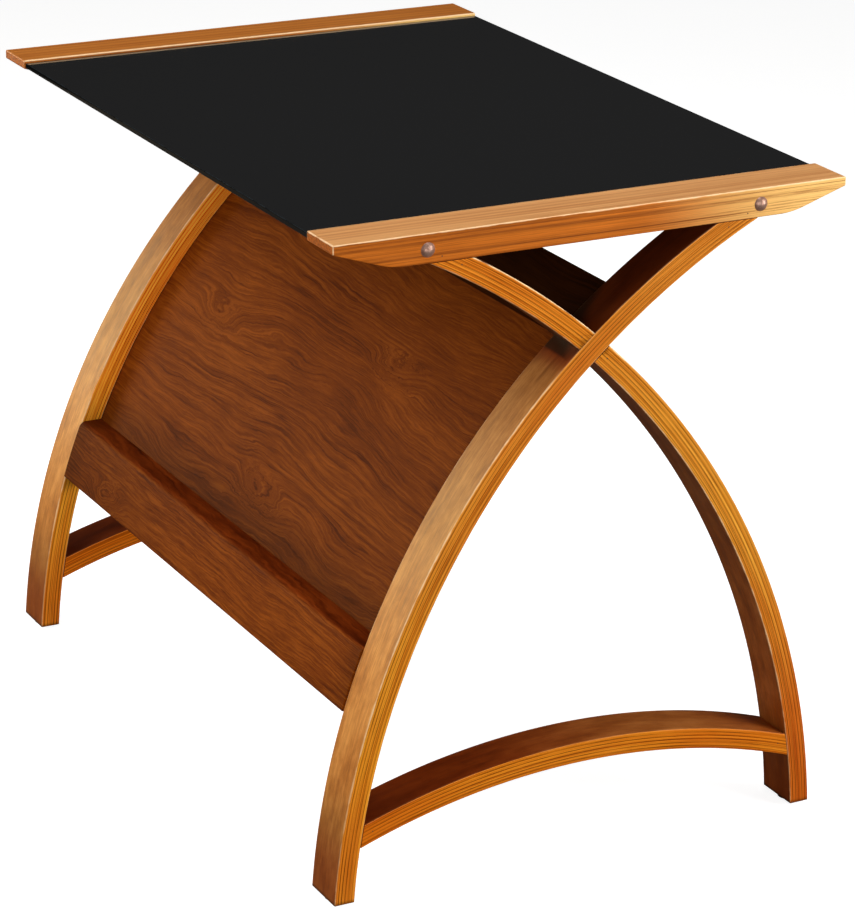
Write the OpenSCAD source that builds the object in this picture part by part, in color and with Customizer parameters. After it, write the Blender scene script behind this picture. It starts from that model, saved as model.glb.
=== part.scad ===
// Drafting and writing table: two glued side frames, each a pair of bent laminated legs that cross
// in a half lap, an arched stretcher and a boat-shaped top rail. Two bars under a black glass top,
// a ledge rail and an upper cross rail tie the frames together, and a curved panel closes the rear.
// Origin: centre of the footprint on the floor. +X is the width, -Y faces the user, +Z is up.

/* [Overall] */
// Width over the outer faces of the two side frames
table_w = 900; // [700:10:1300]
// Height of the tops of the rails above the floor
table_h = 740; // [725:5:755]
// Spread of the feet, front to rear
foot_spread = 600; // [580:5:620]

/* [Legs] */
// Width of a leg, along the table's width
leg_w = 56; // [52:1:58]
// Thickness of a leg, through its laminations
leg_t = 24; // [22:1:26]
// Radius of a leg's convex face
leg_r = 871; // [860:1:885]
// Height of a foot's sawn end above the leg's centre of curvature
leg_drop = 58; // [50:1:66]

/* [Top rails] */
// Length of a rail, front to rear
rail_l = 610; // [590:5:640]
// Width of a rail
rail_w = 60; // [60:1:64]
// Depth of a rail along its level underside
rail_t = 32; // [31:1:36]
// Depth of a rail at its two ends
rail_end_t = 10; // [8:1:14]
// Length of the tapered part of the underside at each end
rail_taper = 67; // [60:1:72]
// Radius that eases the taper into the level underside
rail_round = 98; // [60:1:110]

/* [Stretchers] */
// Thickness of a stretcher
stretcher_t = 24; // [20:1:26]
// Radius of a stretcher's upper face
stretcher_r = 821; // [780:1:900]
// Height of the crown of a stretcher's upper face above the floor
stretcher_top = 138; // [130:1:160]

/* [Glass top] */
// Thickness of the glass
glass_t = 6; // [5:0.5:6]
// Depth of the glass surface below the tops of the rails
glass_drop = 3; // [1:0.5:4]
// Clear gap between the glass and each rail
glass_side_gap = 1; // [0.5:0.5:3]
// Distance of the glass edge from the ends of the rails
glass_end_gap = 1.5; // [0:0.5:10]

/* [Back panel and cross rails] */
// Thickness of the curved panel
panel_t = 5; // [4:0.5:6]
// How far the panel laps onto the concave faces of the rear legs
panel_lap = 14; // [10:1:20]
// Angle up the legs' curve where the ledge rail starts
ledge_start = 17.1; // [16:0.1:19]
// Angle up the legs' curve where the upper cross rail ends
upper_end = 52.9; // [52:0.1:54]
// Height of both cross rails, measured as an angle along the legs' curve
cross_rail_span = 4.8; // [4.4:0.1:5]
// How far the ledge rail stands proud of the legs
ledge_proud = 2; // [0:0.5:4]
// Radius that eases the upper rear arris of the ledge rail
ledge_round = 10; // [4:1:12]

/* [Fasteners and feet] */
// Diameter of the coach bolts in the rails
bolt_d = 6; // [5:1:8]
// Diameter of a bolt's domed head
bolt_head_d = 16; // [14:0.5:18]
// Depth of the bolts' axis below the tops of the rails
bolt_drop = 17.5; // [17:0.5:18]
// Height of a foot glide
glide_h = 5; // [3:0.5:7]
// Diameter of a foot glide
glide_d = 18; // [14:1:20]

/* [Hidden] */
$fn = 120;
curve_fn = 240;                              // facets in a full turn of the legs' and stretchers' curves
leg_wood = "#b97333";
rail_wood = "#c58548";
dark_wood = "#6b3a1c";
plain_wood = "#d9b98a";
steel = "#b4b6b8";
bronze = "#8a6a5e";
glass_black = "#0d0d0f";
pad_grey = "#dcdcdc";
glide_brown = "#3a3430";
fit = 0.1;                                   // glue gap round a tenon or dowel
past = 1;                                    // how far a cut runs past the face that it opens

// Side frame, worked out for the right-hand side and mirrored for the left
half_w = table_w / 2;
leg_x0 = half_w - leg_w;
leg_xm = half_w - leg_w / 2;
rail_x0 = half_w - rail_w;
rail_z0 = table_h - rail_t;
leg_mid_r = leg_r - leg_t / 2;
leg_in_r = leg_r - leg_t;
leg_c = [foot_spread / 2 - sqrt(pow(leg_r, 2) - pow(leg_drop, 2)), glide_h - leg_drop];
top_angle = asin((rail_z0 - leg_c[1]) / leg_mid_r);
leg_top = on_arc(leg_c, leg_mid_r, top_angle);
leg_foot = on_arc(leg_c, leg_mid_r, asin((glide_h - leg_c[1]) / leg_mid_r));
lap_angle = acos(-leg_c[0] / leg_mid_r);
lap_reach = 6;                               // degrees cut either side of the crossing
blank_start = -4;
blank_end = 80;

// Loose tenon between a leg's top and the rail, along the leg's direction there
tenon_lean = top_angle + 90;
tenon_t = 12;
tenon_w = 36;
tenon_in_leg = 26;
tenon_in_rail = 44;

// Coach bolt through the rail and its tenon, then into a pocket in the end of a cross bar
bolt_z = table_h - bolt_drop;
bolt_run = (bolt_z - rail_z0) / sin(tenon_lean);
bolt_y = leg_top[0] + bolt_run * cos(tenon_lean);
bolt_slack = 0.25;
bolt_head_h = 4.2;
bolt_head_r = (pow(bolt_head_d / 2, 2) + pow(bolt_head_h, 2)) / (2 * bolt_head_h);
neck_l = 3.5;
pocket_wall = 30;                            // solid wood between a bar's end and its pocket
pocket_l = 24;
pocket_w = 24;
pocket_skin = 1.5;
washer_d = bolt_d * 2;
washer_t = 1.6;
nut_h = bolt_d * 0.8;                        // usual proportions of a metric nut
nut_af = bolt_d * 10 / 6;
bolt_spare = 3;
bolt_end_x = rail_x0 - pocket_wall - washer_t - nut_h - bolt_spare;

// Bars under the glass
glass_z1 = table_h - glass_drop;
glass_z0 = glass_z1 - glass_t;
pad_t = 1.5;
pad_d = 12;
pad_inset = 90;                              // distance of the end pads from the rails
pad_pitch = rail_x0 - pad_inset;
bar_w = 45;
bar_z1 = glass_z0 - pad_t;
bar_dowel_offset = 14;

// Stretcher, its centre below the floor, and the point where its middle line meets a leg
stretcher_c = [0, stretcher_top - stretcher_r];
stretcher_mid_r = stretcher_r - stretcher_t / 2;
stretcher_end = meet(stretcher_c, stretcher_mid_r, leg_c, leg_in_r);
stretcher_lean = atan2(stretcher_end[1] - stretcher_c[1], stretcher_end[0]) - 90;
stretcher_half_angle = 26;
st_tenon_t = 10;
st_tenon_in_leg = 14;
st_tenon_in_stretcher = 25;

// Back panel, behind the rear legs and the two rails between them
panel_r0 = leg_in_r - panel_t;
panel_edge = leg_x0 + panel_lap;
notch_gap = 1;                               // clearance round the front legs where they cross the panel
ledge_end = ledge_start + cross_rail_span;
ledge_r = leg_r + ledge_proud;
ledge_top = leg_c[1] + ledge_r * sin(ledge_end);
ledge_spare = 3;                             // degrees of the ledge rail's arc that its level top cuts off
ledge_bite = 0.1;                            // how far the easing runs past the faces that it joins
ledge_ease_in = ledge_round - ledge_bite;
ledge_ease_z = ledge_top - ledge_ease_in;
ledge_ease_c = [leg_c[0] + sqrt(pow(ledge_r - ledge_ease_in, 2) - pow(ledge_ease_z - leg_c[1], 2)),
    ledge_ease_z];
ledge_ease_angle = atan2(ledge_ease_c[1] - leg_c[1], ledge_ease_c[0] - leg_c[0]);
upper_start = upper_end - cross_rail_span;
ledge_mid = (ledge_start + ledge_end) / 2;
upper_mid = (upper_start + upper_end) / 2;
panel_lap_in = 0.6;                          // degrees the panel stops short of the ledge rail's foot
dowel_d = 8;
dowel_in_leg = 16;
dowel_in_rail = 22;
dowel_in_top_rail = 10;
dowel_drops = [12, 38];                      // distances of the dowels below a cross rail's upper edge
screw_d = 3.5;
screw_head_d = 7;
screw_head_h = 2;
screw_rim = 0.3;                             // straight edge of the screw's head
screw_l = 16;
screw_count = 5;
screw_margin = 70;                           // distance of the end screws from the legs
screw_pitch = 2 * (leg_x0 - screw_margin) / (screw_count - 1);
leg_screw_count = 3;
leg_screw_step = (lap_angle - ledge_end) / leg_screw_count;

// Brads that hold the loose tenons while the glue sets
brad_d = 1.6;
brad_l = 26;
brad_reach = 13;                             // distance of a brad from the joint line
lap_brad_reach = 21;                         // distance of a brad from the middle of the crossing

// Nail-on glides
glide_bevel = 2;
glide_flat_d = glide_d - 2 * glide_bevel;
glide_edge_h = 1.5;
glide_nail_d = 2.5;
glide_nail_l = 20;
glide_nail_seat = 1.5;

// Point at radius r and angle a, in the Y-Z plane, round the centre c
function on_arc(c, r, a) = [c[0] + r * cos(a), c[1] + r * sin(a)];

// Point a distance s from p, in the direction of the angle a
function along(p, a, s) = [p[0] + s * cos(a), p[1] + s * sin(a)];

// Rear, upper meeting point of two circles in the Y-Z plane
function meet(c0, r0, c1, r1) =
    let (v = c1 - c0, d = norm(v), u = v / d, a = (r0 * r0 - r1 * r1 + d * d) / (2 * d),
        h = sqrt(r0 * r0 - a * a))
    c0 + a * u + h * [-u[1], u[0]] * (u[0] < 0 ? -1 : 1);

// Points of the eased corner between the level underside and the taper, at the rear end
taper_angle = atan((rail_t - rail_end_t) / rail_taper);
corner_steps = 6;
function eased_corner(steps) =
    let (run = rail_round * tan(taper_angle / 2), y0 = rail_l / 2 - rail_taper - run)
    [for (i = [0:steps]) let (a = taper_angle * i / steps)
        [y0 + rail_round * sin(a), rail_z0 + rail_round * (1 - cos(a))]];

// Sector of a ring whose axis runs along X; angles run from +Y towards +Z
module arc_bar(c, r0, r1, a0, a1, x0, x1) {
    translate([0, c[0], c[1]]) rotate([90, 0, 90]) rotate([0, 0, a0])
        rotate_extrude(angle = a1 - a0, $fn = curve_fn)
            translate([r0, x0]) square([r1 - r0, x1 - x0]);
}

// Round bar along X through the point p of the Y-Z plane
module x_rod(p, d, x0, x1) {
    translate([x0, p[0], p[1]]) rotate([0, 90, 0]) cylinder(d = d, h = x1 - x0);
}

// Flat tenon through the point p, leaning by the angle a from +Y towards +Z
module tenon(p, a, back, ahead, t, w, gap = 0) {
    translate([leg_xm, p[0], p[1]]) rotate([a, 0, 0])
        translate([-w / 2 - gap, -back - gap, -t / 2 - gap])
            cube([w + 2 * gap, back + ahead + 2 * gap, t + 2 * gap]);
}

// Puts its children on the rear legs' curve, with +Y pointing away from the centre
module on_leg_curve(a, r) {
    translate([0, leg_c[0], leg_c[1]]) rotate([a, 0, 0]) translate([0, r, 0]) children();
}

module both_ends() {
    children();
    mirror([0, 1, 0]) children();
}

module both_sides() {
    children();
    mirror([1, 0, 0]) children();
}

// ---- Tenons, dowels and brads of the right-hand side frame --------------------------------------

module leg_tenon(gap = 0) {
    tenon(leg_top, tenon_lean, tenon_in_leg, tenon_in_rail, tenon_t, tenon_w, gap);
}

module stretcher_tenon(gap = 0) {
    tenon(stretcher_end, stretcher_lean, st_tenon_in_stretcher, st_tenon_in_leg,
        st_tenon_t, tenon_w, gap);
}

module bolt_bore(d) {
    both_ends() x_rod([bolt_y, bolt_z], d, bolt_end_x, half_w + past);
}

module leg_brads() {
    for (s = [-brad_reach, brad_reach])
        x_rod(along(leg_top, tenon_lean, s), brad_d, half_w - brad_l, half_w);
}

module stretcher_brad() {
    x_rod(along(stretcher_end, stretcher_lean, -brad_reach), brad_d, half_w - brad_l, half_w);
}

// In the front leg, beside the half lap, on the rear leg's side of the mirror
module lap_brads() {
    for (s = [-1, 1])
        x_rod(on_arc(leg_c, leg_mid_r, lap_angle + s * atan(lap_brad_reach / leg_mid_r)), brad_d,
            half_w - brad_l, half_w);
}

module frame_brads() {
    color(steel) {
        both_ends() {
            leg_brads();
            stretcher_brad();
        }
        mirror([0, 1, 0]) lap_brads();
    }
}

module leg_tenons() {
    color(plain_wood) difference() {
        both_ends() leg_tenon();
        bolt_bore(bolt_d + 2 * bolt_slack);
        frame_brads();
    }
}

module stretcher_tenons() {
    color(plain_wood) difference() {
        both_ends() stretcher_tenon();
        frame_brads();
    }
}

module cross_rail_dowels(end_angle, r) {
    color(plain_wood) both_sides() for (drop = dowel_drops)
        x_rod(on_arc(leg_c, r, end_angle - atan(drop / r)), dowel_d,
            leg_x0 - dowel_in_rail, leg_x0 + dowel_in_leg);
}

module ledge_dowels() {
    cross_rail_dowels(ledge_end, (leg_in_r + ledge_r) / 2);
}

module upper_rail_dowels() {
    cross_rail_dowels(upper_end, leg_mid_r);
}

module cross_bar_dowels() {
    color(plain_wood) both_sides() both_ends()
        x_rod([bolt_y + bar_dowel_offset, (rail_z0 + bar_z1) / 2], dowel_d,
            rail_x0 - dowel_in_rail, rail_x0 + dowel_in_top_rail);
}

// ---- Side frame ---------------------------------------------------------------------------------

module leg_blank() {
    intersection() {
        arc_bar(leg_c, leg_in_r, leg_r, blank_start, blank_end, leg_x0, half_w);
        translate([0, -rail_l, glide_h]) cube([table_w, 2 * rail_l, rail_z0 - glide_h]);
    }
}

// The slice of the other leg that a leg makes way for at the half lap
module lap_cut(x0, x1) {
    mirror([0, 1, 0])
        arc_bar(leg_c, leg_in_r, leg_r, lap_angle - lap_reach, lap_angle + lap_reach, x0, x1);
}

module leg_bores() {
    leg_tenon(fit);
    stretcher_tenon(fit);
    leg_brads();
    translate([leg_xm, leg_foot[0], glide_h - past]) cylinder(d = glide_nail_d, h = glide_nail_l + past);
}

// Foot at the rear; it keeps its outer half at the crossing
module rear_leg() {
    color(leg_wood) difference() {
        leg_blank();
        lap_cut(leg_x0 - past, leg_xm);
        leg_bores();
        ledge_dowels();
        upper_rail_dowels();
        at_leg_screws() screw();
    }
}

// Foot at the front; it keeps its inner half at the crossing
module front_leg() {
    color(leg_wood) mirror([0, 1, 0]) difference() {
        leg_blank();
        lap_cut(leg_xm, half_w + past);
        leg_bores();
        lap_brads();
    }
}

// Arch between the two legs, its ends scribed to their concave faces
module stretcher() {
    color(leg_wood) difference() {
        intersection() {
            arc_bar(stretcher_c, stretcher_r - stretcher_t, stretcher_r,
                90 - stretcher_half_angle, 90 + stretcher_half_angle, leg_x0, half_w);
            x_rod(leg_c, 2 * leg_in_r, 0, table_w, $fn = curve_fn);
            mirror([0, 1, 0]) x_rod(leg_c, 2 * leg_in_r, 0, table_w, $fn = curve_fn);
        }
        both_ends() stretcher_tenon(fit);
        frame_brads();
    }
}

module rail_blank() {
    corner = eased_corner(corner_steps);
    rear = concat(corner, [[rail_l / 2, table_h - rail_end_t], [rail_l / 2, table_h]]);
    front = [for (i = [len(rear) - 1:-1:0]) [-rear[i][0], rear[i][1]]];
    translate([rail_x0, 0, 0]) rotate([90, 0, 90])
        linear_extrude(height = rail_w) polygon(concat(rear, front));
}

module top_rail() {
    color(rail_wood) difference() {
        rail_blank();
        both_ends() leg_tenon(fit);
        bolt_bore(bolt_d + 2 * bolt_slack);
        both_ends() bolt_neck(fit);
        cross_bar_dowels();
        frame_brads();
    }
}

// ---- Bolts, nuts and washers --------------------------------------------------------------------

module bolt_neck(gap = 0) {
    side = bolt_d + 2 * gap;
    translate([half_w - neck_l - gap, bolt_y - side / 2, bolt_z - side / 2])
        cube([neck_l + gap + (gap > 0 ? past : 0), side, side]);
}

// Domed head, shank and square neck, turned about X
module rail_bolts() {
    color(bronze) both_ends() {
        translate([half_w, bolt_y, bolt_z]) rotate([0, 90, 0]) rotate_extrude()
            intersection() {
                translate([0, bolt_head_h - bolt_head_r]) circle(r = bolt_head_r);
                square([bolt_head_d / 2, bolt_head_h]);
            }
        bolt_neck();
        x_rod([bolt_y, bolt_z], bolt_d, bolt_end_x, half_w);
    }
}

module bolt_washers() {
    x0 = rail_x0 - pocket_wall - washer_t;
    color(steel) both_sides() both_ends() difference() {
        x_rod([bolt_y, bolt_z], washer_d, x0, x0 + washer_t);
        x_rod([bolt_y, bolt_z], bolt_d + 2 * bolt_slack, x0 - past, x0 + washer_t + past);
    }
}

module bolt_nuts() {
    x1 = rail_x0 - pocket_wall - washer_t;
    color(steel) both_sides() both_ends() difference() {
        translate([x1 - nut_h, bolt_y, bolt_z]) rotate([0, 90, 0])
            cylinder(d = nut_af / cos(30), h = nut_h, $fn = 6);
        x_rod([bolt_y, bolt_z], bolt_d, x1 - nut_h - past, x1 + past);
    }
}

// ---- Glass top and the bars under it ------------------------------------------------------------

module glass_top() {
    glass_w = 2 * (rail_x0 - glass_side_gap);
    glass_l = rail_l - 2 * glass_end_gap;
    color(glass_black) translate([-glass_w / 2, -glass_l / 2, glass_z0])
        cube([glass_w, glass_l, glass_t]);
}

module glass_pads() {
    color(pad_grey) both_ends() for (i = [-1:1])
        translate([i * pad_pitch, bolt_y, bar_z1]) cylinder(d = pad_d, h = pad_t);
}

module front_cross_bar() {
    pocket_top = bar_z1 - pocket_skin;
    color(plain_wood) difference() {
        translate([-rail_x0, bolt_y - bar_w / 2, rail_z0]) cube([2 * rail_x0, bar_w, bar_z1 - rail_z0]);
        both_sides() {
            x_rod([bolt_y, bolt_z], bolt_d + 2 * bolt_slack,
                rail_x0 - pocket_wall - past, rail_x0 + past);
            translate([rail_x0 - pocket_wall - pocket_l, bolt_y - pocket_w / 2, rail_z0 - past])
                cube([pocket_l, pocket_w, pocket_top - rail_z0 + past]);
        }
        cross_bar_dowels();
    }
}

// ---- Back panel and its two cross rails ---------------------------------------------------------

// Children placed on the panel's inner face at x and the angle a, with +Z pointing into the wood
module at_screw(x, a) {
    translate([x, 0, 0]) on_leg_curve(a, panel_r0) rotate([-90, 0, 0]) children();
}

module at_rail_screws() {
    for (a = [ledge_mid, upper_mid], i = [0:screw_count - 1])
        at_screw((i - (screw_count - 1) / 2) * screw_pitch, a) children();
}

// Between the ledge rail and the crossing, on the right-hand side
module at_leg_screws() {
    for (i = [0:leg_screw_count - 1])
        at_screw(leg_x0 + panel_lap / 2, ledge_end + (i + 0.5) * leg_screw_step) children();
}

// Countersunk screw whose head is flush with z = 0
module screw(extra = 0) {
    translate([0, 0, -extra]) cylinder(d = screw_head_d, h = extra + screw_rim);
    translate([0, 0, screw_rim]) cylinder(d1 = screw_head_d, d2 = screw_d, h = screw_head_h);
    translate([0, 0, screw_rim]) cylinder(d = screw_d, h = screw_l - screw_rim);
}

module panel_screws() {
    color(steel) {
        at_rail_screws() screw();
        both_sides() at_leg_screws() screw();
    }
}

// Laps onto the rear legs, with a notch round each front leg
module back_panel() {
    color(dark_wood) difference() {
        arc_bar(leg_c, panel_r0, leg_in_r, ledge_start + panel_lap_in, upper_end, -panel_edge, panel_edge);
        at_rail_screws() screw(past);
        both_sides() {
            at_leg_screws() screw(past);
            mirror([0, 1, 0]) arc_bar(leg_c, leg_in_r - notch_gap, leg_r + notch_gap,
                lap_angle - lap_reach, lap_angle + lap_reach, leg_x0 - notch_gap, half_w);
        }
    }
}

// Wood outside the easing of the ledge rail's upper rear arris
module ledge_arris() {
    reach = 2 * ledge_round;
    side = on_arc([0, 0], reach, ledge_ease_angle);
    translate([-half_w, 0, 0]) rotate([90, 0, 90]) linear_extrude(table_w)
        translate(ledge_ease_c) difference() {
            polygon([[0, 0], side, [side[0], reach], [0, reach]]);
            circle(r = ledge_round);
        }
}

// Its top is level, so that things can stand on it
module ledge_rail() {
    color(dark_wood) difference() {
        intersection() {
            arc_bar(leg_c, leg_in_r, ledge_r, ledge_start, ledge_end + ledge_spare, -leg_x0, leg_x0);
            translate([-leg_x0, 0, 0]) cube([2 * leg_x0, foot_spread, ledge_top]);
        }
        ledge_arris();
        ledge_dowels();
        at_rail_screws() screw();
    }
}

module upper_cross_rail() {
    color(dark_wood) difference() {
        arc_bar(leg_c, leg_in_r, leg_r, upper_start, upper_end, -leg_x0, leg_x0);
        upper_rail_dowels();
        at_rail_screws() screw();
    }
}

// ---- Feet ---------------------------------------------------------------------------------------

module at_feet() {
    both_sides() both_ends() translate([leg_xm, leg_foot[0], 0]) children();
}

module glide_nail() {
    translate([0, 0, glide_nail_seat])
        cylinder(d = glide_nail_d, h = glide_h - glide_nail_seat + glide_nail_l);
}

module foot_glides() {
    color(glide_brown) at_feet() difference() {
        union() {
            cylinder(d1 = glide_flat_d, d2 = glide_d, h = glide_edge_h);
            translate([0, 0, glide_edge_h]) cylinder(d = glide_d, h = glide_h - glide_edge_h);
        }
        glide_nail();
    }
}

module glide_nails() {
    color(steel) at_feet() glide_nail();
}

mirror([1, 0, 0]) rear_leg();  // left_rear_leg
mirror([1, 0, 0]) front_leg();  // left_front_leg
mirror([1, 0, 0]) stretcher();  // left_stretcher
mirror([1, 0, 0]) top_rail();  // left_top_rail
rear_leg();  // right_rear_leg
front_leg();  // right_front_leg
stretcher();  // right_stretcher
top_rail();  // right_top_rail
mirror([1, 0, 0]) leg_tenons();  // left_leg_tenons
leg_tenons();  // right_leg_tenons
mirror([1, 0, 0]) stretcher_tenons();  // left_stretcher_tenons
stretcher_tenons();  // right_stretcher_tenons
mirror([1, 0, 0]) frame_brads();  // left_frame_brads
frame_brads();  // right_frame_brads
glass_top();
glass_pads();
mirror([0, 1, 0]) front_cross_bar();  // rear_cross_bar
front_cross_bar();
cross_bar_dowels();
back_panel();
ledge_rail();
upper_cross_rail();
ledge_dowels();
upper_rail_dowels();
panel_screws();
mirror([1, 0, 0]) rail_bolts();  // left_rail_bolts
rail_bolts();  // right_rail_bolts
bolt_washers();
bolt_nuts();
foot_glides();
glide_nails();
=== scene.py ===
"""Looks of the drafting table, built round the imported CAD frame.

Metres, in the row frame: +X along the width, -Y towards the user, +Z up.
"""

from functools import reduce
from math import acos, asin, atan2, cos, degrees, hypot, pi, radians, sin, sqrt, tan

import bmesh
import bpy
from mathutils import Matrix, Vector


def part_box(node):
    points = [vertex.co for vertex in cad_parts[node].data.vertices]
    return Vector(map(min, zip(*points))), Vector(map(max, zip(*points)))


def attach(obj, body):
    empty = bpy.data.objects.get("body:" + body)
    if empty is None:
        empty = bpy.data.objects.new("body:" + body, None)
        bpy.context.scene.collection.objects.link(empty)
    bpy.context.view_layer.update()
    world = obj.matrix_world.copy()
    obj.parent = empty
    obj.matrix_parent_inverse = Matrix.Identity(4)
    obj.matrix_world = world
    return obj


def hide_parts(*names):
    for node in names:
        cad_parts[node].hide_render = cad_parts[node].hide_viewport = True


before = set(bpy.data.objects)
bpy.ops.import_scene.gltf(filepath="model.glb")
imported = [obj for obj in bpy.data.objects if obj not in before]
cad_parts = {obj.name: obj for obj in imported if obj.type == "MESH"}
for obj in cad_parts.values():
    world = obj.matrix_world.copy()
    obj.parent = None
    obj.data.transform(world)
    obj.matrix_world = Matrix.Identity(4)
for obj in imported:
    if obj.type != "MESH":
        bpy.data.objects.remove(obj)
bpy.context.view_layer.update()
MM = 0.001

# ---- Sizes that the frame's boxes don't give, as in the CAD source ---------------------------------

LEG_R = 871 * MM             # convex face of a leg
LEG_T = 24 * MM
LEG_DROP = 58 * MM           # foot's sawn end above the centre of curvature
STRETCHER_R = 821 * MM
STRETCHER_T = 24 * MM
RAIL_END_T = 10 * MM
RAIL_TAPER = 67 * MM
RAIL_ROUND = 98 * MM
PANEL_T = 5 * MM
NOTCH_GAP = 1 * MM           # round the front legs, where they cross the panel
PLY_T = 4 * MM               # one lamination of a leg or stretcher

JOINT_GAP = 0.12 * MM        # hairline left between glued pieces
OVERCUT = 1 * MM             # how far a crossing cutter reaches out past the leg's side
WOOD_ROUND = 1.4 * MM        # rounding of the arrises of legs, rails and stretchers
LEDGE_R = 873 * MM           # rear face of the ledge rail
LEDGE_ROUND = 10 * MM        # easing of its upper rear arris
PANEL_ROUND = 0.7 * MM
GLASS_ROUND = 0.9 * MM
GLASS_CORNER = 2.0 * MM
ARC_SEGMENTS = 4             # facets in a small rounded arris
WIDE_SEGMENTS = 12           # facets in a corner rounded wider than WIDE_ROUND
WIDE_ROUND = 4 * MM
END_SHARE = 0.8              # rounding of a sawn end, as a share of the long arrises' rounding
WIDE_STEPS = 64              # facets along the panel
LEG_STEPS = 120
STRETCHER_STEPS = 72
SHORT_STEPS = 12             # facets along each face of the ledge and upper rails
CUTTER_STEPS = 24
CUT_REACH = 6                # degrees that a crossing cutter reaches past the crossing's middle
CUTTER_ROUND = 0.05 * MM
CLEAR = 0.05 * MM            # keeps cutters and touching faces from coinciding
MIN_ROUND = 0.02 * MM        # what is left of a corner's radius when it is inset
WELD = 0.001 * MM
SLIVER = 0.02 * MM           # longest edge that counts as a leftover of a cut
SMOOTH_ANGLE = 35            # degrees; sharper edges stay sharp
FLAT = 0.99999               # a face whose normal has a part above this is plane, and stays so


# ---- Mesh helpers -----------------------------------------------------------------------------------

def make_object(name, data):
    obj = bpy.data.objects.new(name, data)
    bpy.context.scene.collection.objects.link(obj)
    return obj


def loft(name, rings):
    """Closed mesh through rings of equal length, with a flat cap at each end."""
    bm = bmesh.new()
    verts = [[bm.verts.new(p) for p in ring] for ring in rings]
    count = len(rings[0])
    for a, b in zip(verts, verts[1:]):
        for i in range(count):
            j = (i + 1) % count
            bm.faces.new((a[i], a[j], b[j], b[i]))
    bm.faces.new(verts[0][::-1])
    bm.faces.new(verts[-1])
    bmesh.ops.recalc_face_normals(bm, faces=bm.faces)
    mesh = bpy.data.meshes.new(name)
    bm.to_mesh(mesh)
    bm.free()
    return make_object(name, mesh)


def rounded_polygon(points, radii, inset=0.0):
    """Counterclockwise polygon moved in by inset; each corner with a radius, all convex, is rounded."""
    n = len(points)
    lines = []
    for i in range(n):
        p, q = Vector(points[i]), Vector(points[(i + 1) % n])
        d = (q - p).normalized()
        lines.append((p + Vector((-d.y, d.x)) * inset, d))
    out = []
    for i in range(n):
        (p, d), (q, e) = lines[i - 1], lines[i]
        turn = d.x * e.y - d.y * e.x
        t = ((q.x - p.x) * e.y - (q.y - p.y) * e.x) / turn
        corner = p + d * t
        if not radii[i]:
            out.append(corner)
            continue
        segments = WIDE_SEGMENTS if radii[i] > WIDE_ROUND else ARC_SEGMENTS
        r = max(radii[i] - inset, MIN_ROUND)
        half = acos(max(-1.0, min(1.0, d.dot(e)))) / 2
        centre = corner - d * (r * tan(half)) + Vector((-d.y, d.x)) * r
        start = atan2(-d.x, d.y)
        for k in range(segments + 1):
            a = start + 2 * half * k / segments
            out.append(centre + Vector((cos(a), sin(a))) * r)
    return out


def end_rings(round_r):
    """(inset, distance from the end) of the rings that round off one end."""
    angles = [pi / 2 * k / ARC_SEGMENTS for k in range(ARC_SEGMENTS + 1)]
    return [(round_r * (1 - sin(a)), round_r * (1 - cos(a))) for a in angles]


def slab(name, points, radii, axis, lo, hi, round_r):
    """Plate or bar with a convex outline, extruded along axis with all its edges rounded."""
    def place(p, h):
        return (h, p.x, p.y) if axis == "x" else (p.x, p.y, h)

    steps = end_rings(round_r)
    rings = [[place(p, lo + d) for p in rounded_polygon(points, radii, i)] for i, d in steps]
    rings += [[place(p, hi - d) for p in rounded_polygon(points, radii, i)] for i, d in steps[::-1]]
    return loft(name, rings)


def rect(w, h, inset, round_r, at=(0.0, 0.0)):
    a, b = w / 2, h / 2
    corners = [(at[0] + sx * a, at[1] + sy * b) for sx, sy in ((-1, -1), (1, -1), (1, 1), (-1, 1))]
    return rounded_polygon(corners, [round_r] * 4, inset)


def arc_piece(name, centre, side, radii, xs, ends, round_r, steps):
    """Bent bar round centre in the Y-Z plane; ends give the angle at (radius, distance in from the end)."""
    (r0, r1), (x0, x1) = radii, xs
    end_round = END_SHARE * round_r

    def section(inset):
        return rect(r1 - r0, x1 - x0, inset, round_r, ((r0 + r1) / 2, (x0 + x1) / 2))

    def ring(inset, angle_at):
        out = []
        for p in section(inset):
            a = angle_at(p.x)
            out.append((p.y, side * (centre[0] + p.x * cos(a)), centre[1] + p.x * sin(a)))
        return out

    low, high = ends
    caps = end_rings(end_round)
    rings = [ring(i, lambda r, d=d: low(r, d)) for i, d in caps]
    for k in range(1, steps):
        t = k / steps
        rings.append(ring(0.0, lambda r, t=t: low(r, end_round) * (1 - t) + high(r, end_round) * t))
    rings += [ring(i, lambda r, d=d: high(r, d)) for i, d in caps[::-1]]
    return loft(name, rings)


def cad_cutter(node):
    """Closed copy of a CAD node, grown a little, so that the wood round it can be cut."""
    bm = bmesh.new()
    bm.from_mesh(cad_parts[node].data)
    bmesh.ops.remove_doubles(bm, verts=bm.verts, dist=WELD)
    bm.normal_update()
    for v in bm.verts:
        v.co += v.normal * CLEAR
    mesh = bpy.data.meshes.new("cutter_" + node)
    bm.to_mesh(mesh)
    bm.free()
    return make_object("cutter_" + node, mesh)


def close(mesh):
    """Welds slivers shorter than SLIVER and fills the gaps that they leave."""
    bm = bmesh.new()
    bm.from_mesh(mesh)
    bmesh.ops.remove_doubles(bm, verts=bm.verts, dist=SLIVER)
    bmesh.ops.dissolve_degenerate(bm, edges=bm.edges, dist=SLIVER)
    bmesh.ops.holes_fill(bm, edges=[edge for edge in bm.edges if edge.is_boundary])
    bm.to_mesh(mesh)
    bm.free()


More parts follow.
